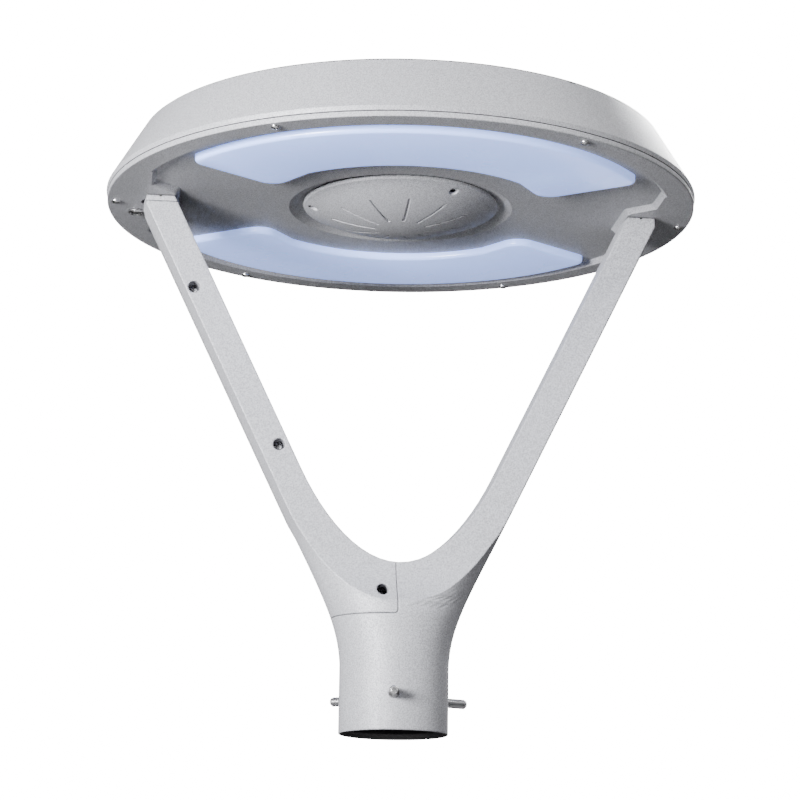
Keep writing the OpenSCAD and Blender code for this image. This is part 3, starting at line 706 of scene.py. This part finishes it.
def smooth_by_angle(limit_deg: float) -> bpy.types.GeometryNodeTree:
    """A node group that merges a mesh's doubles and shades it smooth up to an angle.

    Args:
        limit_deg: Edges sharper than this stay sharp.

    Returns:
        The node group.
    """
    group = bpy.data.node_groups.new(f"smooth_{limit_deg:g}", "GeometryNodeTree")
    group.interface.new_socket("Geometry", in_out="INPUT", socket_type="NodeSocketGeometry")
    group.interface.new_socket("Geometry", in_out="OUTPUT", socket_type="NodeSocketGeometry")
    source = group.nodes.new("NodeGroupInput")
    result = group.nodes.new("NodeGroupOutput")
    bare = group.nodes.new("GeometryNodeRemoveAttribute")
    bare.inputs["Name"].default_value = "custom_normal"
    merge = group.nodes.new("GeometryNodeMergeByDistance")
    merge.inputs["Distance"].default_value = MERGE_DISTANCE
    faces = group.nodes.new("GeometryNodeSetShadeSmooth")
    faces.domain = "FACE"
    angle = group.nodes.new("GeometryNodeInputMeshEdgeAngle")
    sharp = group.nodes.new("ShaderNodeMath")
    sharp.operation = "GREATER_THAN"
    sharp.inputs[1].default_value = math.radians(limit_deg)
    edges = group.nodes.new("GeometryNodeSetShadeSmooth")
    edges.domain = "EDGE"
    edges.inputs["Shade Smooth"].default_value = False
    chain = (source, bare, merge, faces, edges, result)
    for first, second in zip(chain, chain[1:]):
        group.links.new(first.outputs[0], second.inputs[0])
    group.links.new(angle.outputs["Unsigned Angle"], sharp.inputs[0])
    group.links.new(sharp.outputs[0], edges.inputs["Selection"])
    return group


def dress(material: bpy.types.Material, *nodes: str) -> None:
    """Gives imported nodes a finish.

    Args:
        material: The finish.
        *nodes: The nodes' names.
    """
    for name in nodes:
        piece = frame["nodes"][name]
        for slot in piece.material_slots:
            slot.material = material
    log.info("%s: %s", material.name, ", ".join(nodes))


def shade(group: bpy.types.GeometryNodeTree, *nodes: str) -> None:
    """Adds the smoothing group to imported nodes.

    Args:
        group: The node group.
        *nodes: The nodes' names.
    """
    for name in nodes:
        modifier = frame["nodes"][name].modifiers.new("smooth", "NODES")
        modifier.node_group = group


def finished(mesh: bmesh.types.BMesh, name: str, material: bpy.types.Material, body: str
             ) -> bpy.types.Object:
    """Turns a bmesh into a piece that rides on a body.

    Args:
        mesh: The piece's mesh, in place.
        name: The piece's name.
        material: Its finish.
        body: The body it rides on.

    Returns:
        The piece.
    """
    bmesh.ops.remove_doubles(mesh, verts=mesh.verts, dist=SAME_POINT)
    bmesh.ops.recalc_face_normals(mesh, faces=mesh.faces)
    data = bpy.data.meshes.new(name)
    mesh.to_mesh(data)
    mesh.free()
    data.materials.append(material)
    piece = bpy.data.objects.new(name, data)
    bpy.context.scene.collection.objects.link(piece)
    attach(piece, body)
    log.info("%s rides on %s", name, body)
    return piece


# ---------- sub-assemblies ----------


@dataclass
class SetScrew:
    """One threaded set screw of the pole socket, with a hex socket in its outer end."""

    node: str
    body: str
    joint: str
    radius: float = 4.0 * MM
    pitch: float = 1.25 * MM
    root: float = 3.35 * MM
    hex_radius: float = 2.3 * MM
    hex_depth: float = 4.0 * MM
    sides: int = 48
    hex_sides: int = 6
    tip_height: float = 0.9 * MM
    tip_inset: float = 0.5 * MM
    head_height: float = 0.6 * MM
    head_inset: float = 0.45 * MM
    thread_inset: float = 0.75 * MM
    thread_sink: float = 0.1 * MM
    thread_share: float = 0.46
    tolerance: float = 1e-6

    def span(self) -> tuple[Vector, float, float]:
        """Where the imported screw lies.

        Returns:
            The outward direction, and its inner and outer end's distance from the pole's axis.
        """
        joint = next(j for j in frame["joints"] if j["name"] == self.joint)
        outward = -Vector(joint["axis"]).normalized()
        reach = [v.co.dot(outward) for v in frame["nodes"][self.node].data.vertices]
        return outward, min(reach), max(reach)

    def core(self, length: float) -> bmesh.types.BMesh:
        """The screw's core along +Z from 0, with chamfered ends and the hex socket.

        Args:
            length: The screw's length.

        Returns:
            The core's mesh.
        """
        mesh = bmesh.new()
        bmesh.ops.create_circle(mesh, cap_ends=True, radius=self.root - self.tip_inset,
                                segments=self.sides)
        self.grow(mesh, self.tip_height, self.root, keep=True)
        self.grow(mesh, length - self.head_height, self.root)
        self.grow(mesh, length, self.root - self.head_inset)
        top = max(mesh.faces, key=lambda f: f.calc_center_median().z)
        bmesh.ops.delete(mesh, geom=[top], context="FACES_ONLY")
        made = bmesh.ops.create_circle(mesh, radius=self.hex_radius, segments=self.hex_sides)
        bmesh.ops.translate(mesh, vec=(0.0, 0.0, length), verts=made["verts"])
        bmesh.ops.subdivide_edges(mesh, edges=self.ring(mesh, length, self.hex_radius),
                                  cuts=self.sides // self.hex_sides - 1)
        loop = self.ring(mesh, length, self.hex_radius)
        bmesh.ops.bridge_loops(mesh, edges=loop + self.ring(mesh, length, self.root, loop))
        low = [g for g in bmesh.ops.extrude_edge_only(mesh, edges=loop)["geom"]
               if isinstance(g, bmesh.types.BMVert)]
        bmesh.ops.translate(mesh, vec=(0.0, 0.0, -self.hex_depth), verts=low)
        base = self.ring(mesh, length - self.hex_depth, self.hex_radius)
        bmesh.ops.holes_fill(mesh, edges=base, sides=0)
        return mesh

    def ring(self, mesh: bmesh.types.BMesh, height: float, radius: float,
             without: list[bmesh.types.BMEdge] | None = None) -> list[bmesh.types.BMEdge]:
        """The edges that lie flat at one height within a radius.

        Args:
            mesh: The bar.
            height: Height of the edges.
            radius: No end lies farther out than this.
            without: Edges to leave out.

        Returns:
            The edges.
        """
        return [e for e in mesh.edges if e not in (without or ())
                and all(abs(v.co.z - height) < self.tolerance
                        and v.co.xy.length < radius + self.tolerance for v in e.verts)]

    def grow(self, mesh: bmesh.types.BMesh, height: float, radius: float, keep: bool = False
             ) -> None:
        """Extrudes the topmost face of a turned bar to a new height and radius.

        Args:
            mesh: The bar.
            height: The new height of its top.
            radius: The new radius of its top.
            keep: Whether the old top stays, as the bar's bottom.
        """
        top = max(mesh.faces, key=lambda f: (f.calc_center_median().z, len(f.verts)))
        made = bmesh.ops.extrude_face_region(mesh, geom=[top])["geom"]
        rim = [g for g in made if isinstance(g, bmesh.types.BMVert)]
        if not keep:
            bmesh.ops.delete(mesh, geom=[top], context="FACES_ONLY")
        centre = sum((v.co for v in rim), Vector()) / len(rim)
        scale = radius / (rim[0].co - centre).length
        bmesh.ops.translate(mesh, vec=(0.0, 0.0, height - centre.z), verts=rim)
        bmesh.ops.scale(mesh, vec=(scale, scale, 1.0), verts=rim)

    def thread(self, length: float) -> bmesh.types.BMesh:
        """The thread's ridge wound round the core, along +Z from 0.

        Args:
            length: The screw's length.

        Returns:
            The ridge's mesh.
        """
        mesh = bmesh.new()
        half = self.pitch * self.thread_share
        start = self.thread_inset + half
        turns = (length - 2 * self.thread_inset - 2 * half) / self.pitch
        foot = self.root - self.thread_sink
        ends = [mesh.verts.new(place) for place in ((foot, 0.0, start - half),
                                                    (self.radius, 0.0, start),
                                                    (foot, 0.0, start + half))]
        face = mesh.faces.new(ends)
        steps = int(turns * self.sides)
        bmesh.ops.spin(mesh, geom=[face] + list(face.edges) + ends, cent=(0, 0, 0), axis=(0, 0, 1),
                       dvec=(0.0, 0.0, turns * self.pitch / steps), angle=turns * 2 * math.pi,
                       steps=steps, use_duplicate=False)
        return mesh

    def build(self, material: bpy.types.Material) -> bpy.types.Object:
        """Makes the screw in its place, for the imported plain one.

        Args:
            material: Its finish.

        Returns:
            The screw.
        """
        outward, inner, outer = self.span()
        low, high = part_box(self.node)
        mesh = self.core(outer - inner)
        ridge = self.thread(outer - inner)
        data = bpy.data.meshes.new("ridge")
        ridge.to_mesh(data)
        ridge.free()
        mesh.from_mesh(data)
        bpy.data.meshes.remove(data)
        place = outward.to_track_quat("Z", "Y").to_matrix().to_4x4()
        centre = outward * inner
        centre.z = (low.z + high.z) / 2
        bmesh.ops.transform(mesh, matrix=Matrix.Translation(centre) @ place, verts=mesh.verts)
        piece = finished(mesh, f"{self.node}_threaded", material, self.body)
        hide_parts(self.node)
        return piece


@dataclass
class Castings:
    """The painted castings: bracket with its arm cover, both housings and the centre cap."""

    coat: PowderCoat = PowderCoat()
    bore: float = 43.6 * MM
    arm_edge: float = 2.0 * MM
    rim_depth: float = 3.0 * MM
    smooth_deg: float = 14.0

    def dress(self) -> None:
        """Paints the castings, with painted shade in the socket's bore and along the seam between
        the housings, and smooths the lofted ones.
        """
        dress(self.coat.material(), "centre_cap")
        arms = replace(self.coat, name="silver_coat_arms", edge=self.arm_edge)
        dress(arms.material(), "arm_cover")
        # The bracket's coat carries painted shade in the socket's bore and mouth.
        dress(replace(arms, name="silver_coat_shaded_bore", bore=self.bore).material(), "bracket")
        # The housings' coat carries painted shade along the groove between them.
        low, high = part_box("upper_housing")
        parted = replace(self.coat, name="silver_coat_seam_shaded", seam=low.z,
                         seam_radius=high.x - self.rim_depth)
        dress(parted.material(), "lower_housing", "upper_housing")
        shade(smooth_by_angle(self.smooth_deg), "bracket", "arm_cover")


@dataclass
class Diffusers:
    """The two opal crescents with the boards and light chips behind them."""

    opal: OpalPlastic = OpalPlastic()
    spacer: Moulded = Moulded("white_spacer_plastic", (0.78, 0.78, 0.77), 0.45)
    board: SolderMask = SolderMask("white_solder_mask", (0.82, 0.83, 0.82), (0.66, 0.67, 0.66))
    chips: Phosphor = Phosphor()
    smooth_deg: float = 40.0

    def dress(self) -> None:
        """Dresses diffusers, spacer frames, boards and chips."""
        dress(self.opal.material(), "diffuser_front", "diffuser_rear")
        shade(smooth_by_angle(self.smooth_deg), "diffuser_front", "diffuser_rear")
        dress(self.spacer.material(), "board_frame_front", "board_frame_rear", "solar_backsheet")
        dress(self.board.material(), "led_board_front", "led_board_rear")
        dress(self.chips.material(), "leds_front", "leds_rear")


@dataclass
class SolarPanel:
    """The panel in the head's top: glass, cells and junction box."""

    silicon: Silicon = Silicon()
    glass: PanelGlass = PanelGlass()
    box: Moulded = Moulded("black_box_plastic", (0.028, 0.028, 0.030), 0.5)

    def dress(self) -> None:
        """Dresses the panel's layers, and every part moulded in the junction box's plastic."""
        dress(self.silicon.material(), "solar_cells")
        dress(self.glass.material(), "solar_glass")
        dress(self.box.material(), "junction_box", "junction_lid", "battery_holder",
              "battery_clamps", "controller_parts")


@dataclass
class Electrics:
    """Battery, charge controller and wiring inside the head."""

    cells: ShrinkWrap = ShrinkWrap()
    links: BareMetal = BareMetal("nickel_strip", (0.66, 0.64, 0.58), 0.28)
    boards: SolderMask = SolderMask("green_solder_mask", (0.02, 0.14, 0.05), (0.04, 0.24, 0.09))
    case: Moulded = Moulded("controller_case_plastic", (0.05, 0.065, 0.08), 0.42)
    wires: tuple[tuple[str, Colour, str], ...] = (
        ("red_insulation", (0.50, 0.02, 0.015), "panel_wires"),
        ("orange_insulation", (0.70, 0.17, 0.02), "battery_wires"),
        ("yellow_insulation", (0.70, 0.48, 0.03), "led_wires"),
        ("grey_insulation", (0.28, 0.29, 0.30), "button_wires"))
    wire_roughness: float = 0.38
    wire_grain: float = 600.0
    wire_depth: float = 0.02 * MM
    smooth_deg: float = 60.0

    def dress(self) -> None:
        """Dresses the pieces of the electrics."""
        dress(self.cells.material(), "battery_cells")
        dress(self.links.material(), "battery_links")
        dress(self.boards.material(), "battery_board", "controller_board")
        dress(self.case.material(), "controller_case", "controller_lid")
        for name, colour, node in self.wires:
            dress(Moulded(name, colour, self.wire_roughness, self.wire_grain,
                          self.wire_depth).material(), node)
        shade(smooth_by_angle(self.smooth_deg), *(node for _, _, node in self.wires))


@dataclass
class Fasteners:
    """Screws, bolts, washers, seals and the power button."""

    stainless: BareMetal = BareMetal("stainless_steel", (0.70, 0.70, 0.71), 0.24)
    zinc: BareMetal = BareMetal("zinc_plate", (0.60, 0.61, 0.60), 0.34)
    rubber: Moulded = Moulded("black_rubber", (0.020, 0.020, 0.021), 0.72, 900.0, 0.04 * MM)
    black: BareMetal = BareMetal("blackened_steel", (0.50, 0.50, 0.51), 0.34, 900.0)

    def dress(self) -> None:
        """Dresses the small metal and rubber pieces."""
        dress(self.stainless.material(), "rim_screws", "cap_screws", "arm_cover_screws",
              "arm_bolts", "arm_washers", "button_bezel", "button_cap")
        dress(self.zinc.material(), "board_screws", "holder_screws", "controller_screws",
              "button_nut")
        dress(self.rubber.material(), "arm_gaskets", "head_seal", "glass_seal", "cap_seal",
              "button_seal", "diffuser_seals")

    def build(self) -> list[bpy.types.Object]:
        """Makes the three threaded set screws.

        Returns:
            The screws.
        """
        steel = self.black.material()
        return [SetScrew(f"set_screw_{side}", f"set_screw_{side}_body", f"set_screw_{side}_feed"
                         ).build(steel) for side in ("front", "right", "left")]


# ---------- studio ----------


@dataclass
class Viewpoint:
    """The camera: where it stands on its circle round the lamp and how it is turned."""

    azimuth_deg: float = -6.3
    elevation_deg: float = -13.62
    distance: float = 2.1286
    target_height: float = 0.300
    tilt_deg: float = 0.49
    pan_deg: float = 0.05
    roll_deg: float = -0.82
    lens: float = 113.43
    sensor: float = 36.0
    near: float = 0.05
    far: float = 60.0

    def build(self) -> bpy.types.Object:
        """Makes the camera and gives it to the scene.

        Returns:
            The camera.
        """
        a, e = math.radians(self.azimuth_deg), math.radians(self.elevation_deg)
        back = Vector((math.sin(a) * math.cos(e), -math.cos(a) * math.cos(e), math.sin(e)))
        right = Vector((0.0, 0.0, 1.0)).cross(back).normalized()
        up = back.cross(right)
        rows = Matrix((right, up, back))
        turn = (Matrix.Rotation(math.radians(self.roll_deg), 3, "Z")
                @ Matrix.Rotation(math.radians(self.tilt_deg), 3, "X")
                @ Matrix.Rotation(math.radians(self.pan_deg), 3, "Y"))
        data = bpy.data.cameras.new("camera")
        data.lens, data.sensor_width = self.lens, self.sensor
        data.clip_start, data.clip_end = self.near, self.far
        camera = bpy.data.objects.new("camera", data)
        camera.matrix_world = (Matrix.Translation(Vector((0, 0, self.target_height))
                                                  + back * self.distance)
                               @ (turn @ rows).transposed().to_4x4())
        bpy.context.scene.collection.objects.link(camera)
        bpy.context.scene.camera = camera
        return camera


@dataclass(frozen=True)
class StudioLight:
    """One soft studio light."""

    name: str
    place: Place
    size: float
    power: float
    spread_deg: float = 60.0
    aim: Place = (0.0, 0.0, 0.34)

    def build(self) -> bpy.types.Object:
        """Hangs the light and turns it to its aim.

        Returns:
            The light.
        """
        data = bpy.data.lights.new(self.name, "AREA")
        data.shape, data.size, data.energy = "DISK", self.size, self.power
        data.spread = math.radians(self.spread_deg)
        light = bpy.data.objects.new(self.name, data)
        place = Vector(self.place)
        turn = (Vector(self.aim) - place).to_track_quat("-Z", "Y")
        light.matrix_world = Matrix.Translation(place) @ turn.to_matrix().to_4x4()
        bpy.context.scene.collection.objects.link(light)
        return light


@dataclass
class Studio:
    """A plain pale floor, soft lights and a white surround."""

    floor_height: float = -1.10
    floor_radius: float = 1.0
    floor_sides: int = 96
    backdrop: float = 17.0
    ambient_above: float = 0.42
    ambient_below: float = 0.05
    ambient_heights: Span = (-0.25, 0.5)
    lights: tuple[StudioLight, ...] = (
        StudioLight("key", (-1.13, -1.25, 0.24), 0.6, 16.3),
        StudioLight("fill", (1.5, -1.2, 2.2), 0.8, 8.0),
        StudioLight("back", (1.1, 2.0, 1.7), 0.9, 17.0))

    def build(self) -> None:
        """Builds the studio round the lamp."""
        mesh = bmesh.new()
        bmesh.ops.create_circle(mesh, cap_ends=True, radius=self.floor_radius,
                                segments=self.floor_sides)
        bmesh.ops.translate(mesh, vec=(0.0, 0.0, self.floor_height), verts=mesh.verts)
        data = bpy.data.meshes.new("floor")
        mesh.to_mesh(data)
        mesh.free()
        data.materials.append(StudioFloor().material())
        floor = bpy.data.objects.new("floor", data)
        bpy.context.scene.collection.objects.link(floor)
        for light in self.lights:
            light.build()
        Viewpoint().build()
        self.surround()

    def surround(self) -> None:
        """Hangs a white backdrop all round, which lights the lamp only softly."""
        world = bpy.data.worlds.new("surround")
        world.use_nodes = True
        nodes, links = world.node_tree.nodes, world.node_tree.links
        sky = nodes["Background"]
        sky.inputs["Color"].default_value = (1.0, 1.0, 1.0, 1.0)
        height = nodes.new("ShaderNodeSeparateXYZ")
        links.new(nodes.new("ShaderNodeTexCoord").outputs["Generated"], height.inputs["Vector"])
        ambient = nodes.new("ShaderNodeMapRange")
        for socket, number in zip(("From Min", "From Max", "To Min", "To Max"),
                                  (*self.ambient_heights, self.ambient_below,
                                   self.ambient_above)):
            ambient.inputs[socket].default_value = number
        links.new(height.outputs["Z"], ambient.inputs["Value"])
        share = nodes.new("ShaderNodeMix")
        seen = nodes.new("ShaderNodeLightPath").outputs["Is Camera Ray"]
        links.new(seen, share.inputs["Factor"])
        links.new(ambient.outputs["Result"], share.inputs["A"])
        share.inputs["B"].default_value = self.backdrop
        links.new(share.outputs["Result"], sky.inputs["Strength"])
        bpy.context.scene.world = world


def main() -> None:
    """Dresses and builds the lamp and sets up the studio."""
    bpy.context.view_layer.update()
    Castings().dress()
    Diffusers().dress()
    SolarPanel().dress()
    Electrics().dress()
    hardware = Fasteners()
    hardware.dress()
    hardware.build()
    Studio().build()


if __name__ == "__main__":
    logging.basicConfig(level=logging.INFO, format="%(message)s")
    main()
